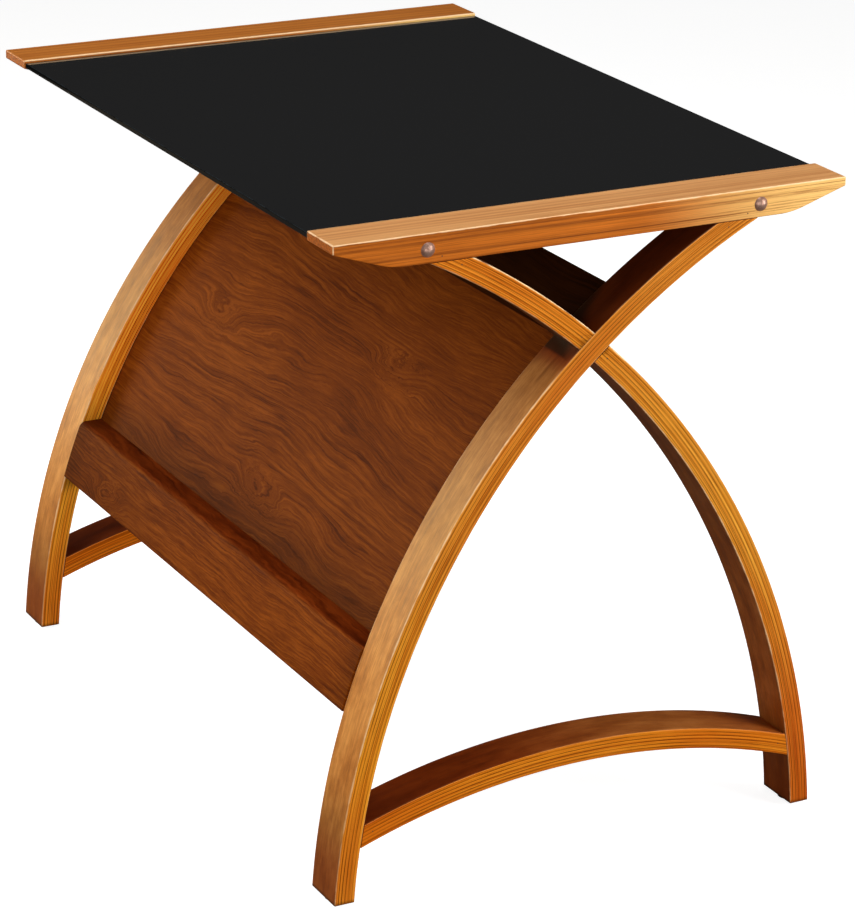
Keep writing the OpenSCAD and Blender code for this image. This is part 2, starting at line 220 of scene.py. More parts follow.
def carve(obj, *cutters):
    """Cuts each cutter, an object or the name of a CAD node, out of obj."""
    cutters = [cad_cutter(c) if isinstance(c, str) else c for c in cutters]
    for cutter in cutters:
        mod = obj.modifiers.new("cut", "BOOLEAN")
        mod.operation, mod.solver, mod.object = "DIFFERENCE", "EXACT", cutter
    bpy.context.view_layer.update()
    graph = bpy.context.evaluated_depsgraph_get()
    cut = bpy.data.meshes.new_from_object(obj.evaluated_get(graph))
    obj.modifiers.clear()
    obj.data = cut
    close(cut)
    for cutter in cutters:
        bpy.data.objects.remove(cutter)


def finish_piece(obj, material, node):
    """Shades a piece, gives it its material, and lets it stand in for its CAD node."""
    mesh = obj.data
    mesh.shade_smooth()
    for face in mesh.polygons:
        face.use_smooth = max(abs(part) for part in face.normal) < FLAT
    mesh.set_sharp_from_angle(angle=radians(SMOOTH_ANGLE))
    weighted = obj.modifiers.new("even_normals", "WEIGHTED_NORMAL")
    weighted.keep_sharp = True
    mesh.materials.clear()
    mesh.materials.append(material)
    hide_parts(node)
    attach(obj, "root")


# ---- Material helpers -------------------------------------------------------------------------------

class Graph:
    """Short names for building a material's nodes."""

    def __init__(self, name):
        self.material = bpy.data.materials.new(name)
        self.material.use_nodes = True
        self.tree = self.material.node_tree
        self.tree.nodes.clear()
        self.out = self.tree.nodes.new("ShaderNodeOutputMaterial")

    def add(self, kind, inputs=(), **props):
        node = self.tree.nodes.new("ShaderNode" + kind)
        for key, value in props.items():
            setattr(node, key, value)
        for key, value in dict(inputs).items():
            self.put(node, key, value)
        return node

    def put(self, node, key, value):
        socket = node.inputs[key]
        if isinstance(value, bpy.types.NodeSocket):
            self.tree.links.new(value, socket)
        elif socket.type == "RGBA" and len(value) == 3:
            socket.default_value = (*value, 1.0)
        else:
            socket.default_value = value

    def math(self, operation, *values):
        return self.add("Math", enumerate(values), operation=operation).outputs[0]

    def product(self, *values):
        return reduce(lambda a, b: self.math("MULTIPLY", a, b), values)

    def total(self, *values):
        return reduce(lambda a, b: self.math("ADD", a, b), values)

    def weighted(self, *parts):
        """Sum of each value times its weight."""
        return self.total(*[self.math("MULTIPLY", value, weight) for value, weight in parts])

    def blend(self, factor, lo, hi):
        """lo where the factor is 0, hi where it is 1; lo and hi are plain numbers."""
        return self.math("MULTIPLY_ADD", factor, hi - lo, lo)

    def add_off(self, onto, value, gain, middle=0.5):
        """onto, plus gain times how far the value lies off the middle."""
        return self.math("MULTIPLY_ADD", self.math("SUBTRACT", value, middle), gain, onto)

    def inverse(self, value):
        return self.math("SUBTRACT", 1.0, value)

    def xyz(self, x=0.0, y=0.0, z=0.0):
        return self.add("CombineXYZ", {0: x, 1: y, 2: z}).outputs[0]

    def split(self, vector):
        return self.add("SeparateXYZ", {0: vector}).outputs

    def noise(self, vector, detail=2.0, rough=0.5, distortion=0.0):
        node = self.add("TexNoise", {"Vector": vector, "Scale": 1.0, "Detail": detail,
                                     "Roughness": rough, "Distortion": distortion})
        return node.outputs[0]

    def step(self, value, lo, hi, to_lo=0.0, to_hi=1.0):
        """Smooth step from to_lo to to_hi as value goes from lo to hi."""
        node = self.add("MapRange", {0: value, 1: lo, 2: hi, 3: to_lo, 4: to_hi},
                        interpolation_type="SMOOTHSTEP")
        return node.outputs[0]

    def ramp(self, value, *stops):
        node = self.add("ValToRGB", {0: value})
        ramp = node.color_ramp
        while len(ramp.elements) < len(stops):
            ramp.elements.new(1.0)
        for element, (at, colour) in zip(ramp.elements, stops):
            element.position = at
            element.color = (*colour, 1.0)
        return node.outputs[0]

    def mix(self, factor, a, b, blend="MIX"):
        node = self.add("Mix", data_type="RGBA", blend_type=blend)
        self.put(node, 0, factor)
        self.put(node, 6, a)
        self.put(node, 7, b)
        return node.outputs[2]

    def tinted(self, colour, tint):
        return self.mix(1.0, colour, tint, "MULTIPLY")

    def dimmed(self, colour, factor):
        return self.tinted(colour, self.xyz(factor, factor, factor))

    def bump(self, height, strength, distance):
        return self.add("Bump", {"Height": height, "Strength": strength, "Distance": distance}).outputs[0]

    def surface(self, **inputs):
        """Principled surface; underscores in the names stand for spaces."""
        named = {key.replace("_", " "): value for key, value in inputs.items()}
        shader = self.add("BsdfPrincipled", named)
        self.tree.links.new(shader.outputs[0], self.out.inputs[0])
        return self.material


def object_coords(g):
    return g.split(g.add("TexCoord").outputs["Object"])


def facing_up(g, lo, hi):
    """Goes from 0 to 1 as a face turns up, between the cosines lo and hi."""
    return g.step(g.split(g.add("NewGeometry").outputs["Normal"])[2], lo, hi)


def bent_coords(g, centre, side):
    """(x, distance along the bend, radius) of a point on a bent piece."""
    x, y, z = object_coords(g)
    dy = g.math("SUBTRACT", g.math("MULTIPLY", y, side), centre[0])
    dz = g.math("SUBTRACT", z, centre[1])
    radius = g.math("SQRT", g.math("ADD", g.math("MULTIPLY", dy, dy), g.math("MULTIPLY", dz, dz)))
    angle = g.math("ARCTAN2", dz, dy)
    return x, g.math("MULTIPLY", angle, LEG_R), radius


def edge_distance(g, value, lo, hi):
    """Distance of value from the nearer of lo and hi."""
    return g.math("MINIMUM", g.math("SUBTRACT", value, lo), g.math("SUBTRACT", hi, value))


def arris_mask(g, d1, d2, reach, noise_vector):
    """1 on the rounded arris where two faces meet, 0 away from it, uneven in width."""
    spread = g.noise(noise_vector, 3.0, 0.6)
    width = g.step(spread, 0.3, 0.7, ARRIS_BAND[0] * reach, ARRIS_BAND[1] * reach)
    return g.inverse(g.step(g.math("ADD", d1, d2), g.math("MULTIPLY", width, ARRIS_CORE), width))


def facing_x(g):
    """1 on faces that look along X, 0 on the others."""
    nx = g.split(g.add("NewGeometry").outputs["True Normal"])[0]
    return g.step(g.math("ABSOLUTE", nx), 0.55, 0.85)


def edge_inward(g, x, xs):
    """Distance from the outer face of a side frame's piece."""
    return g.math("SUBTRACT", max(abs(xs[0]), abs(xs[1])), g.math("ABSOLUTE", x))


def shifted(g, seed, x, y, z, kx, ky, kz):
    """Vector (x, y, z) scaled by (kx, ky, kz) and moved by the seed."""
    return g.xyz(g.math("MULTIPLY_ADD", x, kx, 3.7 * seed), g.math("MULTIPLY_ADD", y, ky, 1.9 * seed),
                 g.math("MULTIPLY_ADD", z, kz, 5.3 * seed))


ARRIS_BAND = (0.75, 1.5)             # narrowest and widest pale band of an arris, in roundings
ARRIS_CORE = 0.45                    # share of that width that is palest
LACQUER = (1.0, 0.84, 0.32)          # tint of the lacquer's reflections
BUMP = 0.25 * MM                     # height of the grain

LAM_RED = (0.88, 0.60, 0.42)         # turns patches of the sides redder
LAM_DARK = (0.300, 0.070, 0.0025)
LAM_MID = (0.660, 0.195, 0.0080)
LAM_LIGHT = (1.000, 0.450, 0.0420)
FACE_DARK = (0.270, 0.070, 0.010)
FACE_MID = (0.490, 0.165, 0.026)
FACE_LIGHT = (0.690, 0.290, 0.066)
FACE_SHADE = (1.0, 0.38, 0.16)       # turns the broad faces redder where their stain and painted shade are dark
FACE_INNER = (0.92, 0.70, 0.66)      # and the concave faces too, as painted shade
# pale edges of legs and stretchers: wear and painted highlight
ARRIS = (1.000, 0.680, 0.360)
GLUE = (0.085, 0.020, 0.001)

# Heights between which a look changes
FOOT_CONTACT_SHADE = (0.005, 0.011)               # painted contact shade fades out above the foot's end
RED_FOOT = (0.02, 0.24)              # the sides turn less red above the feet
FOOT_SHADE = (0.03, 0.16)               # painted shade at the feet: the broad faces lighten above them
FOOT_EDGE_FADE = (0.04, 0.24)             # the edges' wear and painted highlight grow above the feet
UPPER_SHADE = (0.24, 0.50)               # painted shade: the broad faces darken again towards the crossing
LIT = (0.25, 0.33)                   # a lit side lightens
CROSSING = (0.545, 0.57)             # the legs' edges change how much wear and painted highlight they show
SHADED = (0.560, 0.590)              # the broad faces darken under the top
GLOOM = (0.565, 0.640)               # the gloom above the crossing, at a leg's outer and inner edge
GLOOM_BLUR = 0.012                   # half the height over which that gloom fades
CROSSED = (0.578, 0.582)             # the gloom starts

FRONT_HALF = (-0.16, 0.24)           # y between which front_lit, painted light on the front half, fades out


def ply_sides(g, seed, place, z, xs, fibres, redness, tints, lit):
    """Sawn sides of laminated wood: (colour, growth lines, glue lines between the plies)."""
    x, along, depth = place
    sway = g.noise(g.xyz(seed, g.math("MULTIPLY", along, 5.0)), 1.0)
    plies = g.math("DIVIDE", g.add_off(depth, sway, 0.5 * MM), PLY_T)
    ply = g.math("FLOOR", plies)
    ply_seed = g.add("TexWhiteNoise", {"W": g.math("ADD", ply, 17.0 * seed)},
                     noise_dimensions="1D").outputs[0]
    warp = g.noise(shifted(g, seed, ply_seed, along, depth, 9.0, 7.0, 120.0), 3.0, 0.55)
    warped = g.math("MULTIPLY_ADD", warp, 1.2 * MM, depth)
    lines = g.noise(shifted(g, seed, ply_seed, along, warped, 31.0, 1.6, 1450.0), 2.0, 0.6)
    patch = g.noise(shifted(g, seed, ply_seed, along, depth, 3.0, 12.0, 60.0), 2.0)
    tone = g.weighted((g.step(lines, 0.34, 0.58), 0.62), (g.step(fibres, 0.3, 0.7), 0.18), (ply_seed, 0.22))
    tone = g.add_off(tone, patch, 0.35)
    colour = g.ramp(tone, (0.0, LAM_DARK), (0.45, LAM_MID), (1.0, LAM_LIGHT))
    red = g.noise(shifted(g, seed + 2, x, along, depth, 2.0, 3.5, 30.0), 2.0)
    red = g.math("ADD", red, g.step(z, *RED_FOOT, 0.20, 0.0))
    red = g.step(red, 0.62 - redness, 0.86 - redness, 0.0, 0.75)
    colour = g.mix(red, colour, g.tinted(colour, LAM_RED))
    colour = g.tinted(colour, g.ramp(z, *tints))
    light = g.math("MULTIPLY", g.step(z, *LIT, 0.0, lit - 1.0), g.step(x, *xs, 1.0, 0.0))
    colour = g.dimmed(colour, g.math("ADD", light, 1.0))
    glue = g.inverse(g.step(edge_distance(g, g.math("FRACT", plies), 0.0, 1.0), 0.03, 0.17))
    fade = g.noise(shifted(g, seed, ply, along, 0.0, 5.0, 14.0, 0.0), 3.0)
    shown = g.math("MULTIPLY", glue, g.step(fade, 0.34, 0.60, 0.25, 0.95))
    return g.mix(shown, colour, GLUE), lines, glue


def broad_faces(g, seed, place):
    """Broad faces of laminated wood, before their stain and painted shade: (colour, streaks, pores)."""
    flow = g.noise(shifted(g, seed, *place, 55.0, 9.0, 3.0), 3.0, 0.6, 0.4)
    streaks = g.noise(shifted(g, seed, *place, 420.0, 14.0, 3.0), 4.0, 0.65)
    pores = g.noise(shifted(g, seed, *place, 1900.0, 95.0, 3.0), 2.0, 0.6)
    blotch = g.noise(shifted(g, seed, *place, 38.0, 26.0, 3.0), 3.0, 0.6)
    mottle = g.noise(shifted(g, seed, *place, 150.0, 60.0, 3.0), 3.0, 0.6)
    tone = g.weighted((g.step(flow, 0.28, 0.72), 0.45), (g.step(streaks, 0.25, 0.75), 0.40),
                      (g.step(pores, 0.36, 0.60), 0.20))
    tone = g.add_off(g.add_off(tone, blotch, 1.0), mottle, 0.5)
    return g.ramp(tone, (0.0, FACE_DARK), (0.5, FACE_MID), (1.0, FACE_LIGHT)), streaks, pores


def face_stain_and_shade(g, x, y, z, xs, convex, faces, front_lit, shaded):
    """How light the broad faces are: their stain, with painted shade under the top, above the crossing and
    at the feet, and painted light on the front half.
    """
    inward = g.math("DIVIDE", edge_inward(g, x, xs), xs[1] - xs[0])
    above = g.math("SUBTRACT", z, g.blend(inward, *GLOOM))
    gloom = g.math("MAXIMUM", g.step(above, -GLOOM_BLUR, GLOOM_BLUR, shaded, 1.0),
                   g.step(z, *CROSSED, 1.0, 0.0))
    return g.product(g.blend(convex, *faces), g.step(z, *SHADED, 1.0, shaded), gloom,
                     g.step(z, *FOOT_SHADE, 0.55, 1.18), g.step(z, *UPPER_SHADE, 1.0, 0.66),
                     g.step(y, *FRONT_HALF, front_lit, 1.0))


def laminated(name, centre, side, radii, xs, seed, redness, tints, faces, arris, front_lit=1.0,
              lit=1.0, shaded=0.26):
    """Bent laminated wood: plies and fine lines on the sides, soft streaks on the broad faces.

    redness   how much of the sides is redder
    tints     (height, colour) pairs that multiply the sides
    faces     how light the concave and the convex face are: their stain and painted shade
    arris     how much wear and painted highlight the edges of those two faces show below the crossing, then above it
    front_lit, lit   how much lighter painted light makes the front half's broad faces, and the side
              that looks along -X above the ledge
    shaded    how dark the broad faces are under the top
    """
    g = Graph(name)
    x, along, radius = bent_coords(g, centre, side)
    y, z = object_coords(g)[1:3]
    thick = radii[1] - radii[0]
    depth = g.math("SUBTRACT", radius, radii[0])
    convex = g.step(depth, 0.3 * thick, 0.7 * thick)
    on_side = facing_x(g)
    fibres = g.noise(shifted(g, seed, x, along, depth, 200.0, 38.0, 4200.0), 3.0, 0.65)
    sides, lines, glue = ply_sides(g, seed, (x, along, depth), z, xs, fibres, redness, tints, lit)
    broad, streaks, pores = broad_faces(g, seed, (x, along, radius))
    # painted light and shade on the broad faces, besides their stain; redder where darkened
    stain_and_shade = face_stain_and_shade(g, x, y, z, xs, convex, faces, front_lit, shaded)
    broad = g.dimmed(broad, stain_and_shade)
    broad = g.mix(g.step(stain_and_shade, 0.30, 1.00, 1.0, 0.0), broad, g.tinted(broad, FACE_SHADE))
    broad = g.mix(convex, g.tinted(broad, FACE_INNER), broad)
    mask = arris_mask(g, edge_distance(g, x, *xs), edge_distance(g, radius, *radii), WOOD_ROUND,
                      shifted(g, seed, x, along, radius, 90.0, 35.0, 90.0))
    # pale edges: wear, and painted highlight that changes at the crossing
    wear_and_glint_low = g.blend(convex, *arris[:2])
    wear_and_glint_high = g.blend(convex, *arris[2:])
    wear_and_glint = g.math("MULTIPLY_ADD", g.step(z, *CROSSING), g.math("SUBTRACT", wear_and_glint_high, wear_and_glint_low), wear_and_glint_low)
    wear_and_glint = g.product(mask, wear_and_glint, g.step(z, *FOOT_EDGE_FADE, 0.35, 1.0))
    colour = g.mix(wear_and_glint, g.mix(on_side, broad, sides), ARRIS)
    # painted contact shade at the foot's end
    colour = g.dimmed(colour, g.step(z, *FOOT_CONTACT_SHADE, 0.30, 1.0))
    height = g.weighted((g.math("MULTIPLY", lines, on_side), 0.5), (fibres, 0.25), (pores, 0.5),
                        (g.math("MULTIPLY", glue, on_side), -0.6))
    shine = g.product(g.blend(on_side, 0.85, 0.30), g.blend(mask, 1.0, 0.3),
                      g.step(stain_and_shade, 0.3, 1.0, 0.45, 1.0))
    return g.surface(Base_Color=colour, Roughness=g.step(streaks, 0.2, 0.8, 0.34, 0.50),
                     Normal=g.bump(height, 0.25, BUMP), Specular_IOR_Level=shine,
                     Specular_Tint=(*LACQUER, 1.0))


RAIL_TOP_DARK = (0.470, 0.182, 0.056)
RAIL_TOP_LIGHT = (0.810, 0.420, 0.170)
RAIL_SIDE_DARK = (0.200, 0.036, 0.002)
RAIL_SIDE_LIGHT = (0.720, 0.180, 0.013)
RAIL_FRONT_LIGHT = (1.0, 0.600, 0.190)      # painted light towards the rail's front end
RAIL_FRONT_SPAN = (-0.28, -0.04)             # y between which it fades out
# pale edges of the rails, wear and painted highlight, and painted light above the glass
RAIL_ARRIS = (1.0, 0.720, 0.420)
GLASS_EDGE = (1.0 * MM, 2.2 * MM)    # depths under the top between which the painted light on a rail's inner side above the glass ends
# (top_tint, end_pale) of each rail; the right rail's darker top is painted shade
RAIL_LOOKS = {"left": ((0.97, 0.95, 0.90), 0.7), "right": ((0.72, 0.48, 0.20), 0.15)}
INNER_RAIL_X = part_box("right_top_rail")[0].x


def rail_wood(name, xs, ys, zs, seed, top_tint, end_pale):
    """Straight solid rail with its grain along Y.

    top_tint multiplies the colour of its top, as painted shade on the right rail; end_pale says how pale
    the edges of its rear end are, with wear and painted highlight.
    """
    g = Graph(name)
    x, y, z = object_coords(g)
    warp = g.noise(shifted(g, seed, x, y, z, 14.0, 3.0, 14.0), 2.0)
    rings = g.noise(shifted(g, seed, g.math("MULTIPLY_ADD", warp, 4 * MM, x), y,
                            g.math("MULTIPLY_ADD", warp, 3 * MM, z), 260.0, 1.2, 420.0), 3.0, 0.6)
    fibres = g.noise(shifted(g, seed, x, y, z, 1500.0, 28.0, 1500.0), 3.0, 0.65)
    patch = g.noise(shifted(g, seed, x, y, z, 18.0, 5.0, 18.0), 2.0)
    lines = g.noise(shifted(g, seed + 1, x, y, g.math("MULTIPLY_ADD", warp, 2 * MM, z),
                            900.0, 2.0, 900.0), 2.0, 0.6)
    tone = g.weighted((g.step(rings, 0.30, 0.68), 0.60), (g.step(fibres, 0.3, 0.7), 0.25))
    tone = g.add_off(tone, patch, 0.5, 0.4)
    tone = g.math("SUBTRACT", tone, g.step(lines, 0.56, 0.66, 0.0, 0.35))
    side = g.ramp(tone, (0.0, RAIL_SIDE_DARK), (1.0, RAIL_SIDE_LIGHT))
    # painted light towards the front end, following the grain
    pale = g.math("MULTIPLY", g.step(y, *RAIL_FRONT_SPAN, 1.0, 0.0), g.step(tone, -0.2, 0.6))
    side = g.mix(pale, side, RAIL_FRONT_LIGHT)
    top = g.tinted(g.ramp(tone, (0.0, RAIL_TOP_DARK), (1.0, RAIL_TOP_LIGHT)), top_tint)
    colour = g.mix(facing_up(g, 0.5, 0.85), side, top)
    near_x = edge_distance(g, x, *xs)
    near_top = g.math("SUBTRACT", zs[1], z)
    near_end = edge_distance(g, y, *ys)
    wear_at = shifted(g, seed, x, y, z, 90.0, 35.0, 90.0)
    # pale edges: wear and painted highlight
    masks = [arris_mask(g, a, b, WOOD_ROUND, wear_at)
             for a, b in ((near_x, near_top), (near_x, near_end), (near_top, near_end))]
    mask = reduce(lambda a, b: g.math("MAXIMUM", a, b), masks)
    mask = g.math("MULTIPLY", mask, g.step(y, ys[1] - 4 * MM, ys[1] - 2 * MM, 0.7, end_pale))
    # painted light on a rail's inner side, just above the glass
    inner = g.step(g.math("ABSOLUTE", x), INNER_RAIL_X, INNER_RAIL_X + MM, 1.0, 0.0)
    above_glass = g.product(facing_x(g), inner, g.step(near_top, *GLASS_EDGE, 0.85, 0.0))
    colour = g.mix(g.math("MAXIMUM", mask, above_glass), colour, RAIL_ARRIS)
    height = g.weighted((rings, 0.4), (fibres, 0.5))
    return g.surface(Base_Color=colour, Roughness=g.step(fibres, 0.2, 0.8, 0.34, 0.48),
                     Normal=g.bump(height, 0.22, BUMP), Specular_IOR_Level=0.4,
                     Specular_Tint=(*LACQUER, 1.0))


VENEER_DARK = (0.085, 0.013, 0.0008)
VENEER_MID = (0.212, 0.041, 0.0024)
VENEER_LIGHT = (0.370, 0.088, 0.0068)
VENEER_TOP = (0.80, 0.56, 0.85)      # painted shade on the ledge's level top
FAR_END = (-0.10, 0.38)              # x between which the far painted shade comes in
LEG_SHADE = 0.05                     # width over which painted shade gathers beside the legs
LEDGE_SHADE = 0.06                   # and height, above the ledge
KNOT = (0.005, 0.018)                # size of a knot's eye, in cells of the knot pattern
INNER_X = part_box("right_rear_leg")[0].x


def growth_phase(g, x, across, radius, seed, curl, line_rate):
    """How many growth lines lie below a point, and its distance from the nearest knot."""
    wide = g.noise(shifted(g, seed, x, across, radius, 2.2, 6.0, 1.0), 2.0, 0.45)
    small = g.noise(shifted(g, seed, x, across, radius, 8.0, 24.0, 2.0), 2.0, 0.5)
    ragged = g.noise(shifted(g, seed, x, across, radius, 40.0, 130.0, 2.0), 3.0, 0.6)
    knot_x = g.math("MULTIPLY_ADD", small, 0.10, x)
    knot_y = g.math("MULTIPLY_ADD", ragged, 0.018, across)
    knots = g.add("TexVoronoi", {"Vector": shifted(g, seed, knot_x, knot_y, radius, 2.1, 5.6, 0.0),
                                 "Scale": 1.0, "Randomness": 0.9},
                  voronoi_dimensions="2D").outputs["Distance"]
    near_knot = g.inverse(g.step(knots, 0.0, 0.16))
    phase = g.weighted((across, line_rate), (wide, curl), (small, 0.16 * curl), (ragged, 0.9),
                       (near_knot, 0.035 * line_rate))
    return phase, knots


def veneer(name, seed, curl, line_rate, contrast, stain_and_shade=1.0, ledge_z=None, far_shade=1.0):
    """Dark figured wood with its grain along X: wavy growth lines, small knots and pores.

    Painted shade gathers beside the legs and, where ledge_z is given, above that height; far_shade
    multiplies it at the right-hand end.
    """
    g = Graph(name)
    x, across, radius = bent_coords(g, LEG_C, 1)
    z = object_coords(g)[2]
    phase, knots = growth_phase(g, x, across, radius, seed, curl, line_rate)
    rings = g.noise(g.xyz(phase, g.math("MULTIPLY", x, 2.5), seed), 2.0, 0.6)
    fine = g.noise(g.xyz(g.math("MULTIPLY", phase, 3.1), g.math("MULTIPLY", x, 12.0), seed + 4.0), 3.0, 0.6)
    level = g.noise(g.xyz(g.math("MULTIPLY", phase, 0.45), g.math("MULTIPLY", x, 1.5), seed + 9.0), 1.0)
    fibres = g.noise(shifted(g, seed, x, across, radius, 60.0, 1500.0, 900.0), 3.0, 0.65)
    mottle = g.noise(shifted(g, seed, x, across, radius, 6.0, 14.0, 1.0), 3.0, 0.6)
    bold = g.noise(shifted(g, seed + 1, x, across, radius, 3.0, 8.0, 1.0), 2.0)
    bold = g.step(bold, 0.35, 0.62, 0.35, 1.0)
    band = g.math("MULTIPLY_ADD", g.math("SUBTRACT", g.step(rings, 0.28, 0.68), 0.5), bold, 0.5)
    tone = g.weighted((band, 0.36), (g.step(fine, 0.3, 0.7), 0.38), (g.step(fibres, 0.25, 0.75), 0.26))
    tone = g.add_off(tone, mottle, 0.6)
    tone = g.add_off(0.52, tone, contrast)
    off_level = g.math("ABSOLUTE", g.math("SUBTRACT", level, 0.5))
    contour = g.step(off_level, 0.0, 0.026, -0.24 * contrast, 0.0)
    tone = g.math("MULTIPLY_ADD", contour, bold, tone)
    tone = g.math("ADD", tone, g.step(knots, *KNOT, -0.35, 0.0))
    colour = g.ramp(tone, (0.0, VENEER_DARK), (0.5, VENEER_MID), (1.0, VENEER_LIGHT))
    near_leg = g.math("SUBTRACT", INNER_X, g.math("ABSOLUTE", x))
    # painted shade beside the legs, at the right-hand end and above the ledge
    shade = g.product(g.step(near_leg, 0.0, LEG_SHADE, 0.80, 1.0), stain_and_shade,
                      g.step(x, *FAR_END, 1.0, far_shade))
    if ledge_z is not None:
        above_ledge = g.math("SUBTRACT", z, ledge_z)
        shade = g.math("MULTIPLY", shade, g.step(above_ledge, 0.0, LEDGE_SHADE, 0.60, 1.0))
    colour = g.dimmed(colour, shade)
    on_ledge = g.math("MULTIPLY", facing_up(g, 0.70, 0.98), g.step(radius, LEG_IN, LEG_IN + MM))
    colour = g.mix(on_ledge, colour, g.tinted(colour, VENEER_TOP))
    height = g.weighted((band, 0.3), (fibres, 0.5))
    return g.surface(Base_Color=colour, Roughness=g.step(fibres, 0.2, 0.8, 0.50, 0.64),
                     Normal=g.bump(height, 0.2, BUMP), Specular_IOR_Level=0.05,
                     Specular_Tint=(*LACQUER, 1.0))


# GLASS_ARRIS is the glass's bluish edge, lightened as a painted highlight
GLASS_BLACK, GLASS_ARRIS = (0.0185, 0.0185, 0.0188), (0.034, 0.044, 0.052)


def black_glass():
    g = Graph("black_glass")
    x, y, z = object_coords(g)
    lo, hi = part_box("glass_top")
    near_top = g.math("SUBTRACT", hi.z, z)
    near_end = edge_distance(g, y, lo.y, hi.y)
    arris = arris_mask(g, near_top, near_end, GLASS_ROUND, shifted(g, 1, x, y, z, 50.0, 50.0, 50.0))
    haze = g.noise(shifted(g, 1, x, y, z, 7.0, 7.0, 7.0), 4.0, 0.6)
    specks = g.noise(shifted(g, 2, x, y, z, 900.0, 900.0, 900.0), 1.0)
    colour = g.mix(arris, GLASS_BLACK, GLASS_ARRIS)
    rough = g.math("ADD", g.step(haze, 0.3, 0.8, 0.05, 0.10), g.step(specks, 0.70, 0.78, 0.0, 0.15))
    rough = g.math("MULTIPLY_ADD", arris, 0.35, rough)
    return g.surface(Base_Color=colour, Roughness=rough, IOR=1.5,
                     Normal=g.bump(haze, 0.02, 0.05 * MM))


def bare_wood(name, axis, light, dark, seed):
    """Unlacquered wood of bars, dowels and tenons, with its grain along one axis."""
    g = Graph(name)
    p = object_coords(g)
    fine = [900.0 if i != axis else 18.0 for i in range(3)]
    wide = [60.0 if i != axis else 4.0 for i in range(3)]
    fibres = g.noise(shifted(g, seed, *p, *fine), 3.0, 0.6)
    patch = g.noise(shifted(g, seed, *p, *wide), 3.0, 0.5)
    tone = g.weighted((g.step(fibres, 0.25, 0.75), 0.5), (patch, 0.6))
    return g.surface(Base_Color=g.ramp(tone, (0.1, dark), (0.9, light)),
                     Roughness=g.step(fibres, 0.2, 0.8, 0.55, 0.75),
                     Normal=g.bump(fibres, 0.3, 0.2 * MM))


def metal(name, colour, tint, rough, metallic=1.0):
    """Plated steel with stains and fine pits."""
    g = Graph(name)
    p = object_coords(g)
    stain_and_shade = g.noise(shifted(g, 3, *p, 260.0, 260.0, 260.0), 4.0, 0.6)
    grain = g.noise(shifted(g, 4, *p, 2600.0, 2600.0, 900.0), 3.0, 0.7)
    base = g.mix(g.step(stain_and_shade, 0.35, 0.7), colour, tint)
    return g.surface(Base_Color=base, Metallic=metallic,
                     Roughness=g.math("ADD", g.step(stain_and_shade, 0.3, 0.7, rough, rough + 0.12),
                                      g.step(grain, 0.5, 0.8, 0.0, 0.1)),
                     Normal=g.bump(grain, 0.15, 0.03 * MM))


def plastic(name, colour, tint, rough):
    """Moulded plastic with a fine grain and scuffs."""
    g = Graph(name)
    p = object_coords(g)
    grain = g.noise(shifted(g, 5, *p, 1800.0, 1800.0, 1800.0), 2.0, 0.5)
    scuff = g.noise(shifted(g, 6, *p, 300.0, 300.0, 300.0), 4.0, 0.6)
    return g.surface(Base_Color=g.mix(g.step(scuff, 0.45, 0.75), colour, tint),
                     Roughness=g.step(scuff, 0.3, 0.7, rough, rough + 0.2),
                     Normal=g.bump(grain, 0.3, 0.05 * MM))


# ---- Curves shared by the side frames ---------------------------------------------------------------

leg_lo, leg_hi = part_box("right_rear_leg")
foot_z, leg_top_z = leg_lo.z, leg_hi.z
foot_y = leg_hi.y
LEG_C = (foot_y - sqrt(LEG_R ** 2 - LEG_DROP ** 2), foot_z - LEG_DROP)
LEG_IN = LEG_R - LEG_T
LAP_ANGLE = acos(-LEG_C[0] / (LEG_R - LEG_T / 2))
stretcher_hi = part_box("right_stretcher")[1]
STRETCHER_C = (0.0, stretcher_hi.z - STRETCHER_R)


def angle_at(r, z):
    """Degrees at which the rear legs' curve, at radius r, passes height z."""
    return degrees(asin((z - LEG_C[1]) / r))


def level_end(z, inward):
    """End of a leg sawn level at height z; inward is +1 at the foot and -1 at the top."""
    return lambda r, d: asin((z + inward * d - LEG_C[1]) / r)


def scribed_end(front):
    """End of a stretcher that meets a leg's concave face."""
    dy, dz = LEG_C[0] - STRETCHER_C[0], LEG_C[1] - STRETCHER_C[1]
    dist, base = hypot(dy, dz), atan2(dz, dy)

    def angle(r, d):
        reach = LEG_IN - JOINT_GAP - d
        rear = base - acos((r * r + dist * dist - reach * reach) / (2 * r * dist))
        return pi - rear if front else rear
    return angle


def radial_end(degrees_at, inward):
    """Square end at an angle of the curve; inward is +1 at the lower end and -1 at the upper."""
    return lambda r, d: radians(degrees_at) + inward * d / r


def crossing_cutter(side, gap, xs):
    """Room at the crossing for a rear leg (side +1) or a front leg (side -1), gap larger all round."""
    middle = degrees(LAP_ANGLE)
    ends = (radial_end(middle - CUT_REACH, 1), radial_end(middle + CUT_REACH, -1))
    return arc_piece("crossing_cutter", LEG_C, side, (LEG_IN - gap, LEG_R + gap), xs, ends,
                     CUTTER_ROUND, CUTTER_STEPS)


REAR_TINTS = ((0.04, (0.96, 0.84, 0.75)), (0.16, (1.07, 1.13, 0.91)), (0.38, (0.84, 0.71, 0.72)),
              (0.66, (0.84, 0.74, 0.98)))
FRONT_TINTS = ((0.13, (0.81, 0.49, 0.48)), (0.32, (0.91, 0.93, 1.09)), (0.50, (0.90, 0.90, 1.00)),
               (0.66, (0.91, 0.70, 0.61)))
REAR_LOOK = {"redness": 0.16, "tints": REAR_TINTS, "faces": (1.3, 1.1), "arris": (0.45, 0.85, 0.45, 0.15)}
FRONT_LOOK = {"redness": 0.06, "tints": FRONT_TINTS, "faces": (1.12, 1.1),
              "arris": (0.75, 0.35, 0.35, 1.0)}
